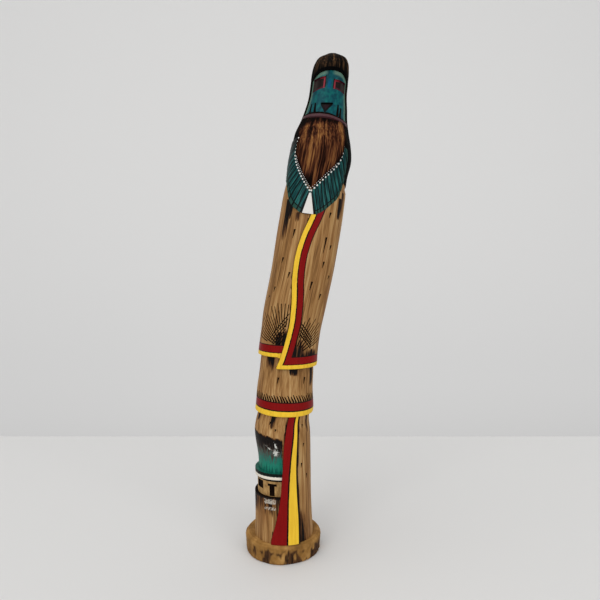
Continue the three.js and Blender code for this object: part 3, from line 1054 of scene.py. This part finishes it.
# %% Which finish asks for what
TRIMS = {
    "sanded_root": root_trim, "skirt_paint": skirt_trim, "robe_paint": robe_trim,
    "flap_paint": flap_trim, "sash_paint": sash_trim, "combed_hair": hair_trim,
    "combed_beard": beard_trim, "turquoise_mask": mask_trim, "eye_paint": eye_trim,
    "mouth_paint": mouth_trim, "chin_paint": chin_trim, "feather_collar": collar_trim,
    "cave_paint": cave_trim, "roof_paint": roof_trim, "wall_paint": wall_trim}

# %% Writing the maps on the figure
def lay_maps(mesh):
    places = []
    straight = mesh.attributes.new("straight", "FLOAT_VECTOR", "POINT")
    for v in mesh.vertices:
        x, y, z = v.co / MM
        percent = percent_at(z)
        x -= middle(percent)
        y += FOOT_FORWARD
        straight.data[v.index].vector = (x, y, z)
        places.append((math.degrees(math.atan2(x, -y)), percent))
    trim = mesh.attributes.new("trim", "FLOAT_VECTOR", "CORNER")
    known = {}
    for face in mesh.polygons:
        name = mesh.materials[face.material_index].name
        trim_of = TRIMS.get(name)
        if trim_of:
            for corner in face.loop_indices:
                v = mesh.loops[corner].vertex_index
                if (name, v) not in known:
                    known[name, v] = trim_of(*places[v])
                trim.data[corner].vector = known[name, v]
    print("maps laid on", len(mesh.vertices), "points in", len(known), "kinds of place")


lay_maps(figure.data)
slice_straight = slice_piece.data.attributes.new("straight", "FLOAT_VECTOR", "POINT")
slice_trim = slice_piece.data.attributes.new("trim", "FLOAT_VECTOR", "POINT")
for v in slice_piece.data.vertices:
    x, y, z = v.co / MM
    slice_straight.data[v.index].vector = (x, y, z)
    angle = math.degrees(math.atan2(x, -y))
    slice_trim.data[v.index].vector = (bark_patch(angle, z), math.hypot(x, y), z)

# %% Smooth faces, sharp edges
CREASE = math.radians(38)
for made in (figure, slice_piece):
    made.data.shade_smooth()
    made.data.set_sharp_from_angle(angle=CREASE)
    made.data.update()

# %% [markdown]
# ## Finishes
# The wood is cottonwood root, sanded and left bare, with an IOR of about 1.5 like all wood and
# paint. Its grain is noise drawn out along the root. The paint is acrylic, brushed on thin, so it
# has a soft sheen, slow changes of strength and an edge that isn't ruled. Burned wood is almost
# black and matt, and paler where the pen only passed over it. All of it could be painted on a
# picture that is wrapped round the figure. Nodes are used because they stay sharp up close, and
# because the two maps already say where every edge, hem and burn lies.

# %% Colours and nodes
def linear(hex_colour):
    """An sRGB hex colour as the linear numbers that nodes take."""
    parts = [int(hex_colour[i:i + 2], 16) / 255 for i in (1, 3, 5)]
    return (*[p / 12.92 if p <= 0.04045 else ((p + 0.055) / 1.055) ** 2.4 for p in parts], 1.0)


SUMS = (
    "ADD", "SUBTRACT", "MULTIPLY", "DIVIDE", "MINIMUM", "MAXIMUM", "ABSOLUTE", "FRACT",
    "LESS_THAN", "GREATER_THAN")
NODES = {  # node, settings, the sockets that the inputs go to in turn, and the output to read
    "attribute": ("Attribute", {}, (), "Vector"),
    "split": ("SeparateXYZ", {}, (0,), 0),
    "vector": ("CombineXYZ", {}, (0, 1), 0),
    "scale": ("Mapping", {}, ("Vector", "Scale"), 0),
    "noise": ("TexNoise", {}, ("Vector", "Scale", "Detail", "Roughness"), 0),
    "ramp": ("ValToRGB", {}, (0,), 0),
    "range": ("MapRange", {}, (0, 1, 2, 3, 4), 0),
    "ease": ("MapRange", {"interpolation_type": "SMOOTHSTEP"}, (0, 1, 2), 0),
    "blend": ("Mix", {"data_type": "RGBA"}, (0, 6, 7), 2),
    "darken": ("Mix", {"data_type": "RGBA", "blend_type": "MULTIPLY"}, (0, 6, 7), 2),
    "relief": ("Bump", {}, ("Strength", "Distance", "Height"), 0),
    "shader": ("BsdfPrincipled", {}, ("IOR", "Specular IOR Level"), 0),
    **{operation: ("Math", {"operation": operation}, (0, 1), 0) for operation in SUMS}}
print(len(NODES), "kinds of node")


def add(tree, kind, *inputs, stops=(), **settings):
    """Adds a node with its settings and links, and gives its output. inputs are numbers, hex
    colours or other nodes' outputs, and stops are the places and colours of a ramp."""
    name, usual, sockets, output = NODES[kind]
    made = tree.nodes.new("ShaderNode" + name)
    for setting, value in {**usual, **settings}.items():
        setattr(made, setting, value)
    for socket, value in zip(sockets, inputs):
        if isinstance(value, bpy.types.NodeSocket):
            tree.links.new(value, made.inputs[socket])
        else:
            made.inputs[socket].default_value = linear(value) if isinstance(value, str) else value
    while stops and len(made.color_ramp.elements) < len(stops):
        made.color_ramp.elements.new(0.5)
    for element, (position, colour) in zip(made.color_ramp.elements if stops else (), stops):
        element.position = position
        element.color = linear(colour) if isinstance(colour, str) else colour
    return made.outputs[output]


SHEEN = 0.1  # the wood and the thin paint are unvarnished, so less shines than on a smooth face
STAIN_SHEEN = 0.02  # stain and charring leave the wood matt
BUMP = 0.0004  # metres, the height of raised grain
WOBBLE = 0.55  # millimetres by which a brushed edge wanders


def start(name, sheen=SHEEN):
    """An empty tree for a finish, with its shader already joined to the output."""
    print("finish:", name)
    material = finishes[name]
    material.use_nodes = True
    tree = material.node_tree
    tree.nodes.clear()
    light = add(tree, "shader", 1.5, sheen)
    tree.links.new(light, tree.nodes.new("ShaderNodeOutputMaterial").inputs["Surface"])
    straight = add(tree, "attribute", attribute_name="straight")
    parts = add(tree, "split", add(tree, "attribute", attribute_name="trim")).node.outputs
    return tree, light.node, straight, parts


def finish(tree, shader, colour, roughness, height=None, depth=BUMP):
    """Gives a shader its colour, its roughness and, where there is a height, its relief."""
    tree.links.new(colour, shader.inputs["Base Color"])
    if isinstance(roughness, bpy.types.NodeSocket):
        tree.links.new(roughness, shader.inputs["Roughness"])
    else:
        shader.inputs["Roughness"].default_value = roughness
    if height:
        tree.links.new(add(tree, "relief", 0.6, depth, height), shader.inputs["Normal"])


def speckle(tree, straight, across, along, detail=4.0, roughness=0.55):
    """A pattern of spots that are so many millimetres across and along the root."""
    laid = add(tree, "scale", straight, (1 / across, 1 / across, 1 / along))
    return add(tree, "noise", laid, 1.0, detail, roughness)


def brush_edge(tree, straight, along):
    """Millimetres by which the edge of a brushed band is out of true."""
    wave = add(tree, "SUBTRACT", speckle(tree, straight, 3, along, 1), 0.5)
    return add(tree, "MULTIPLY", wave, WOBBLE)

# %% Cottonwood root, sanded
CHAR = "#0d0705"
SCORCH = "#54331b"
FIBRE = (1.1, 34)  # millimetres across and along
STREAK = (4.2, 95)
CLOUD = (19, 70)


def bare_wood(tree, straight, burned):
    """Colour of the sanded root with its burns and any painted shade, and a height for the bump."""
    fibre = speckle(tree, straight, *FIBRE)
    streak = speckle(tree, straight, *STREAK, detail=5)
    cloud = speckle(tree, straight, *CLOUD, detail=2)
    grain = add(tree, "ADD", add(tree, "MULTIPLY", fibre, 0.42),
        add(tree, "MULTIPLY", streak, 0.58))
    wood = add(tree, "ramp", grain,
        stops=((0.36, "#634426"), (0.44, "#876036"), (0.5, "#9b7345"), (0.56, "#ab8453"),
            (0.66, "#c1a071")))
    warm = add(tree, "darken", 1.0, wood, "#c09068")
    shown = add(tree, "blend", add(tree, "MULTIPLY", add(tree, "ease", cloud, 0.45, 0.7), 0.3),
        wood, warm)
    ragged = add(tree, "MULTIPLY", add(tree, "SUBTRACT", grain, 0.5),
        add(tree, "ease", burned, 0.0, 0.25))
    edge = add(tree, "ADD", burned, add(tree, "MULTIPLY", ragged, 4.2))
    brown = add(tree, "blend", add(tree, "ease", edge, 0.05, 0.4), shown, SCORCH)
    charred = add(tree, "blend", add(tree, "ease", edge, 0.35, 0.6), brown, CHAR)
    return charred, grain


# The bare root, with whitish dabs under the house that stand for rooms further off.
tree, shader, straight, parts = start("sanded_root")
wood, grain = bare_wood(tree, straight, parts[2])
dab = add(tree, "ease",
    add(tree, "ADD", parts[0], add(tree, "MULTIPLY", speckle(tree, straight, 1.6, 1.9), 2.2)),
    1.75, 2.2)
ghosts = add(tree, "blend", add(tree, "MULTIPLY", dab, 0.88), wood, "#b5ada0")
finish(tree, shader, ghosts, 0.58, grain)

# %% Painted bands on the wood
YELLOW = "#eec236"
RED = "#800707"
BAND_SPAN = 25.0  # millimetres over the hem that the ramp covers


# Acrylic brushed over sanded wood: strong flat colour with faint streaks of the brush, and a
# little smoother than the wood. The burned lines between the colours hide their edges.
def painted_bands(name, bands):
    """Bare wood with bands along its hem, as millimetres over the hem and colours."""
    tree, shader, straight, parts = start(name)
    wood, grain = bare_wood(tree, straight, parts[2])
    wander = brush_edge(tree, straight, 3)
    over_hem = add(tree, "ADD", add(tree, "MINIMUM", parts[0], parts[1]), wander)
    share = add(tree, "DIVIDE", over_hem, BAND_SPAN)
    band = add(tree, "ramp", share, stops=[
        (edge / BAND_SPAN, linear(colour) if colour else (0.2, 0.1, 0.05, 0.0))
        for edge, colour in bands])
    band.node.color_ramp.interpolation = "CONSTANT"
    brushed = speckle(tree, straight, 2.5, 14, 3)
    paint = add(tree, "darken",
        add(tree, "MULTIPLY", add(tree, "ease", brushed, 0.35, 0.75), 0.35), band, "#c8b49a")
    colour = add(tree, "blend", band.node.outputs["Alpha"], wood, paint)
    rough = add(tree, "range", band.node.outputs["Alpha"], 0.0, 1.0, 0.58, 0.42)
    finish(tree, shader, colour, rough, grain)


ROBE_BANDS = ((0, YELLOW), (4.6, CHAR), (5.5, RED), (13.3, CHAR), (14.3, None))
SKIRT_BANDS = ((0, YELLOW), (6.0, CHAR), (7.4, RED), (15.6, CHAR), (16.8, None))
painted_bands("robe_paint", ROBE_BANDS)
painted_bands("flap_paint", ROBE_BANDS)
painted_bands("skirt_paint", SKIRT_BANDS)

# %% The sash, red and yellow
# The same acrylic in two long halves, with a burned line between them and at the side.
tree, shader, straight, parts = start("sash_paint")
wander = brush_edge(tree, straight, 6)
aside = add(tree, "range", add(tree, "ADD", parts[0], wander), -20.0, 20.0)
halves = add(tree, "ramp", aside, stops=((0, RED), (0.476, CHAR), (0.522, YELLOW)))
halves.node.color_ramp.interpolation = "CONSTANT"
brushed = speckle(tree, straight, 3, 30, 3)
paint = add(tree, "darken", add(tree, "MULTIPLY", add(tree, "ease", brushed, 0.35, 0.75), 0.35),
    halves, "#c8b49a")
lined = add(tree, "blend", add(tree, "ease", parts[2], 2.5, 2.0), paint, CHAR)
finish(tree, shader, lined, 0.42, brushed, BUMP / 2)

# %% Burned lines and edges
# Wood charred by a hot pen: nearly black, dry and matt.
tree, shader, straight, parts = start("burned_line", STAIN_SHEEN)
burned = add(tree, "ramp", speckle(tree, straight, 2, 9),
    stops=((0.35, "#080403"), (0.65, "#1e120b")))
finish(tree, shader, burned, 0.7)

# %% Combed hair and beard
# Wood stained black. Stain soaks in, so the combed strands still show and nothing shines. The
# crown is rubbed back to brown.
tree, shader, straight, parts = start("combed_hair", STAIN_SHEEN)
strand = add(tree, "ADD", add(tree, "MULTIPLY", parts[2], 0.55), speckle(tree, straight, 1.3, 40))
dyed = add(tree, "SUBTRACT", strand, add(tree, "MULTIPLY", parts[1], 0.42))
locks = add(tree, "ramp", dyed,
    stops=((0.14, "#030303"), (0.32, "#0f0c09"), (0.46, "#291d13"), (0.62, "#523a25"),
        (0.85, "#7c5f3c")))
outline = add(tree, "blend", add(tree, "ease", parts[0], 4.6, 3.6), locks, "#030303")
finish(tree, shader, outline, 0.65, strand)

# Wood stained brown, so thinly that golden fibres show on the ridges.
tree, shader, straight, parts = start("combed_beard", STAIN_SHEEN)
strand = add(tree, "ADD", add(tree, "MULTIPLY", parts[2], 0.5), speckle(tree, straight, 1.2, 30))
golden = speckle(tree, straight, 7, 60, 2)
dyed = add(tree, "SUBTRACT",
    add(tree, "ADD", strand, add(tree, "MULTIPLY", add(tree, "SUBTRACT", golden, 0.5), 0.9)),
    add(tree, "MULTIPLY", parts[1], 0.42))
locks = add(tree, "ramp", dyed,
    stops=((0.2, "#0b0503"), (0.38, "#24110a"), (0.5, "#442416"), (0.64, "#643c22"),
        (0.9, "#96693a")))
finish(tree, shader, locks, 0.6, strand)

# %% The turquoise mask
# Turquoise acrylic dabbed on unevenly and bluer between the eyes. Its paler rim is partly the
# greener paint at the sides and partly a painted highlight on the rounded brow and edges.
tree, shader, straight, parts = start("turquoise_mask")
patchy = speckle(tree, straight, 5, 7, 3)
aside = add(tree, "ABSOLUTE", parts[0])
base = add(tree, "ramp", patchy, stops=((0.35, "#02343c"), (0.5, "#044850"), (0.68, "#0b605c")))
between_eyes = add(tree, "MULTIPLY", add(tree, "ease", parts[1], -5.0, 1.0),
    add(tree, "ease", parts[1], 11.0, 5.0))
bridge = add(tree, "MULTIPLY", add(tree, "ease", aside, 3.6, 0.8), between_eyes)
blue = add(tree, "blend", add(tree, "MULTIPLY", bridge, 0.6), base, "#06507c")
# The paler rim is partly greener paint at the sides and partly a painted highlight where the
# rounded brow and edges would catch the light.
rim = add(tree, "MULTIPLY", add(tree, "ease", parts[2], 6.0, 2.5),
    add(tree, "ease", aside, 1.5, 8.0))
pale = add(tree, "blend", add(tree, "MULTIPLY", rim, 0.75), blue, "#64826f")
finish(tree, shader, pale, 0.4, patchy, BUMP / 2)

# %% Eyes, mouth and the band under the chin
# Nearly black acrylic in the hollow of the eye, with red along the lids and the inner corner.
tree, shader, straight, parts = start("eye_paint")
wander = add(tree, "MULTIPLY", speckle(tree, straight, 2, 2), 0.6)
hollow = add(tree, "ramp", add(tree, "DIVIDE", parts[0], 20.0),
    stops=((0.25, "#120604"), (0.5, "#1a1210"), (0.85, "#3b322f")))
lower = add(tree, "blend", add(tree, "ease", add(tree, "ADD", parts[1], wander), 3.9, 3.1),
    hollow, "#481322")
lid = add(tree, "blend", add(tree, "ease", parts[0], 11.0, 4.0), "#3d1420", "#8a2430")
lidded = add(tree, "blend", add(tree, "ease", parts[2], 1.7, 1.1), lower, lid)
corner = add(tree, "blend", add(tree, "ease", add(tree, "ADD", parts[0], wander), 3.5, 2.9),
    lidded, "#98333f")
finish(tree, shader, corner, 0.4)

# Black acrylic, worn to plum in the middle.
tree, shader, straight, parts = start("mouth_paint")
lips = add(tree, "blend", add(tree, "ease", parts[0], 1.9, 2.8), "#050404", "#1f0b13")
finish(tree, shader, lips, 0.4)

# Maroon acrylic, with painted shade along the lower edge of its rounded band.
tree, shader, straight, parts = start("chin_paint")
maroon = add(tree, "blend", speckle(tree, straight, 3, 3), "#3b1f26", "#5c3f41")
# The darker lower edge is painted shade, like the underside of a rounded ledge lit from above.
shaded_lower_edge = add(tree, "blend", add(tree, "ease", parts[1], 2.7, 2.1), maroon, "#2e050d")
finish(tree, shader, shaded_lower_edge, 0.4)

# %% Collar feathers
FEATHER_LINE = 0.11  # share of a feather that its burned outline takes on each side
# Dark teal acrylic streaked along each feather, with burned outlines and one white feather.
tree, shader, straight, parts = start("feather_collar")
strip = parts[0]
within = add(tree, "ABSOLUTE", add(tree, "SUBTRACT", add(tree, "FRACT", strip), 0.5))
line = add(tree, "ease", within, 0.5 - FEATHER_LINE * 1.4, 0.5 - FEATHER_LINE)
along = add(tree, "vector", add(tree, "MULTIPLY", strip, 3.5),
    add(tree, "DIVIDE", parts[1], 22.0))
quill = add(tree, "noise", along, 1.0, 3.0)
vane = add(tree, "ramp", quill, stops=((0.36, "#031f20"), (0.5, "#093c3d"), (0.64, "#266560")))
border = add(tree, "blend", add(tree, "ease", parts[1], 4.6, 4.2), vane, "#20463d")
is_white = add(tree, "LESS_THAN", add(tree, "ABSOLUTE", add(tree, "SUBTRACT", strip, 12.5)), 0.5)
is_white = add(tree, "MULTIPLY", is_white, add(tree, "GREATER_THAN", parts[2], 2.4))
feathers = add(tree, "blend", is_white, border, "#dedad4")
rim_line = add(tree, "MULTIPLY",
    add(tree, "ease", add(tree, "ABSOLUTE", add(tree, "SUBTRACT", parts[1], 4.6)), 0.75, 0.45),
    add(tree, "SUBTRACT", 1.0, is_white))
lined = add(tree, "blend", add(tree, "MAXIMUM", line, rim_line), feathers, "#020606")
shoulder = add(tree, "blend", add(tree, "ease", strip, 3.2, 0.8), lined, "#060a09")
finish(tree, shader, shoulder, 0.42, quill, BUMP / 2)

# %% Beads
# Drops of white acrylic, thick enough to keep the gloss that it dried with.
tree, shader, straight, parts = start("bead_paint")
white = add(tree, "blend", speckle(tree, straight, 1.5, 1.5), "#dad8d2", "#fbfaf6")
finish(tree, shader, white, 0.35)

# %% The cave and the house
# Green acrylic that fades upwards into brown wood and soot, with splashes of white.
tree, shader, straight, parts = start("cave_paint")
ragged = speckle(tree, straight, 1.6, 14, 4)
height = add(tree, "ADD", parts[1],
    add(tree, "MULTIPLY", add(tree, "SUBTRACT", ragged, 0.5), 1.15))
rock = add(tree, "ramp", height,
    stops=((0.0, "#0c5548"), (0.2, "#1d7f69"), (0.38, "#2a6a5d"), (0.5, "#46514b"),
        (0.64, "#453a32"), (0.75, "#261c17"), (0.86, "#110b09")))
splashed = add(tree, "ADD", parts[2],
    add(tree, "MULTIPLY", add(tree, "SUBTRACT", speckle(tree, straight, 0.9, 2.6), 0.5), 2.2))
water = add(tree, "blend", add(tree, "ease", splashed, 0.5, 0.7), rock, "#c9c9c2")
finish(tree, shader, water, 0.5, ragged)

# White acrylic under a burned line, which reads as the edge of a flat roof.
tree, shader, straight, parts = start("roof_paint")
ragged = add(tree, "ADD", parts[1],
    add(tree, "MULTIPLY", add(tree, "SUBTRACT", speckle(tree, straight, 1.5, 2), 0.5), 2.0))
edge = add(tree, "ramp", add(tree, "DIVIDE", ragged, 8.0),
    stops=((0.0, "#dcd2c0"), (0.36, "#e6dfd2"), (0.44, "#081510"), (0.9, "#06100c")))
finish(tree, shader, edge, 0.5)

# Tan acrylic, like mud brick dried in the sun, with a painted shadow as dark as char under the
# roof's edge.
tree, shader, straight, parts = start("wall_paint")
adobe = add(tree, "ramp", speckle(tree, straight, 4, 6),
    stops=((0.35, "#8f6c40"), (0.65, "#b9945f")))
# Painted shadow: the top few millimetres of the wall under the roof's edge are char-dark.
shaded = add(tree, "blend", add(tree, "ease", parts[1], 3.4, 2.8), adobe, CHAR)
finish(tree, shader, shaded, 0.55)

# %% The sawn branch
# Cottonwood branch, sawn across and left bare: dull brown with faint rings, and dark bark with
# short upright fibres where it is left on the edge.
tree, shader, straight, parts = start("sawn_branch")
cut = speckle(tree, straight, 14, 14, 3)
rings = add(tree, "noise", add(tree, "vector", add(tree, "DIVIDE", parts[1], 2.3)), 1.0)
sawn = add(tree, "ramp",
    add(tree, "ADD", add(tree, "MULTIPLY", cut, 0.7), add(tree, "MULTIPLY", rings, 0.3)),
    stops=((0.3, "#6b4925"), (0.42, "#86602f"), (0.54, "#a0763f"), (0.7, "#bd9459")))
fibre = speckle(tree, straight, 1.4, 18, 4)
bark = add(tree, "ramp", fibre, stops=((0.35, "#22140b"), (0.65, "#5f3f24")))
edge_wood = add(tree, "blend", parts[0], sawn, bark)
on_side = add(tree, "ease", parts[2], FOOT - 1.0, FOOT - 3.0)
branch_colour = add(tree, "blend", on_side, sawn, edge_wood)
finish(tree, shader, branch_colour, 0.72,
    add(tree, "ADD", add(tree, "MULTIPLY", fibre, on_side), cut))

# %% [markdown]
# ## Places in the model
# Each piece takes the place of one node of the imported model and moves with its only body.

# %% Places of the pieces in the model
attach(figure, "root")
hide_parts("figure")
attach(slice_piece, "root")
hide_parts("base_slice")

# %% [markdown]
# ## Studio
# The figure stands on a wide pale table, and a pale wall is far enough behind it that the figure
# can be looked at from the back too. Both are plain boards with their corners broken, and the
# table's broken far edge is the bright line that the photograph shows.

# %% Table and wall
TABLE = ((5.0, 2.085, 0.05), (0, -0.5575, -0.025))  # size and middle, in metres
WALL = ((8.0, 0.05, 4.6), (0, 1.8, 0.9))
BOARD_EDGE = 0.006


def board(name, size, middle_point, colour):
    """A board of matt paint, which isn't part of the figure."""
    bm = bmesh.new()
    bmesh.ops.create_cube(bm, size=1)
    bmesh.ops.scale(bm, vec=size, verts=bm.verts)
    bmesh.ops.translate(bm, vec=middle_point, verts=bm.verts)
    bmesh.ops.bevel(
        bm, geom=bm.edges[:], offset=BOARD_EDGE, segments=3, profile=0.5, affect="EDGES",
        material=-1)
    mesh = bpy.data.meshes.new(name)
    bm.to_mesh(mesh)
    bm.free()
    made = bpy.data.objects.new(name, mesh)
    scene.collection.objects.link(made)
    pale_paint = bpy.data.materials.new("pale_" + name)
    pale_paint.use_nodes = True
    matt = pale_paint.node_tree.nodes["Principled BSDF"]
    matt.inputs["Base Color"].default_value = linear(colour)
    matt.inputs["Roughness"].default_value = 0.9
    mesh.materials.append(pale_paint)
    print("stage:", name)


board("table", *TABLE, "#e0dfdd")
board("wall", *WALL, "#f6f5f3")

# %% Light
def soft_light(name, place, size, energy):
    """A square lamp that looks at the middle of the figure."""
    data = bpy.data.lights.new(name, "AREA")
    data.energy = energy
    data.size = size
    lamp = bpy.data.objects.new(name, data)
    lamp.location = place
    towards = Vector((0.02, 0, 0.3)) - lamp.location
    lamp.rotation_euler = towards.to_track_quat("-Z", "Y").to_euler()
    scene.collection.objects.link(lamp)
    print(f"{name}: {energy} W over {size} m")


soft_light("key", (-1.2, -2.4, 1.4), 1.6, 20)
soft_light("fill", (1.6, -1.9, 0.9), 1.3, 12)
top_data = bpy.data.lights.new("top", "SUN")
top_data.energy = 0.95
top_data.angle = math.radians(60)
top_lamp = bpy.data.objects.new("top", top_data)
top_lamp.rotation_euler = Vector((0.2, 0.4, -1)).to_track_quat("-Z", "Y").to_euler()
scene.collection.objects.link(top_lamp)
world = bpy.data.worlds.new("studio")
world.use_nodes = True
sky = world.node_tree.nodes["Background"]
sky.inputs["Color"].default_value = linear("#f2f3f5")
sky.inputs["Strength"].default_value = 0.5
scene.world = world
scene.view_settings.view_transform = "Standard"

# %% [markdown]
# ## Camera
# The photograph was taken level, from less than a step in front of the figure and half way up it.

# %% Camera
camera_data = bpy.data.cameras.new("camera")
camera_data.lens = 28.8
camera_data.sensor_width = 36
camera = bpy.data.objects.new("camera", camera_data)
camera.location = (0.021, -0.595, 0.305)
camera.rotation_euler = (math.radians(90), 0, 0)
scene.collection.objects.link(camera)
scene.camera = camera
print("the camera is", round(-camera.location.y, 3), "m in front of the figure")
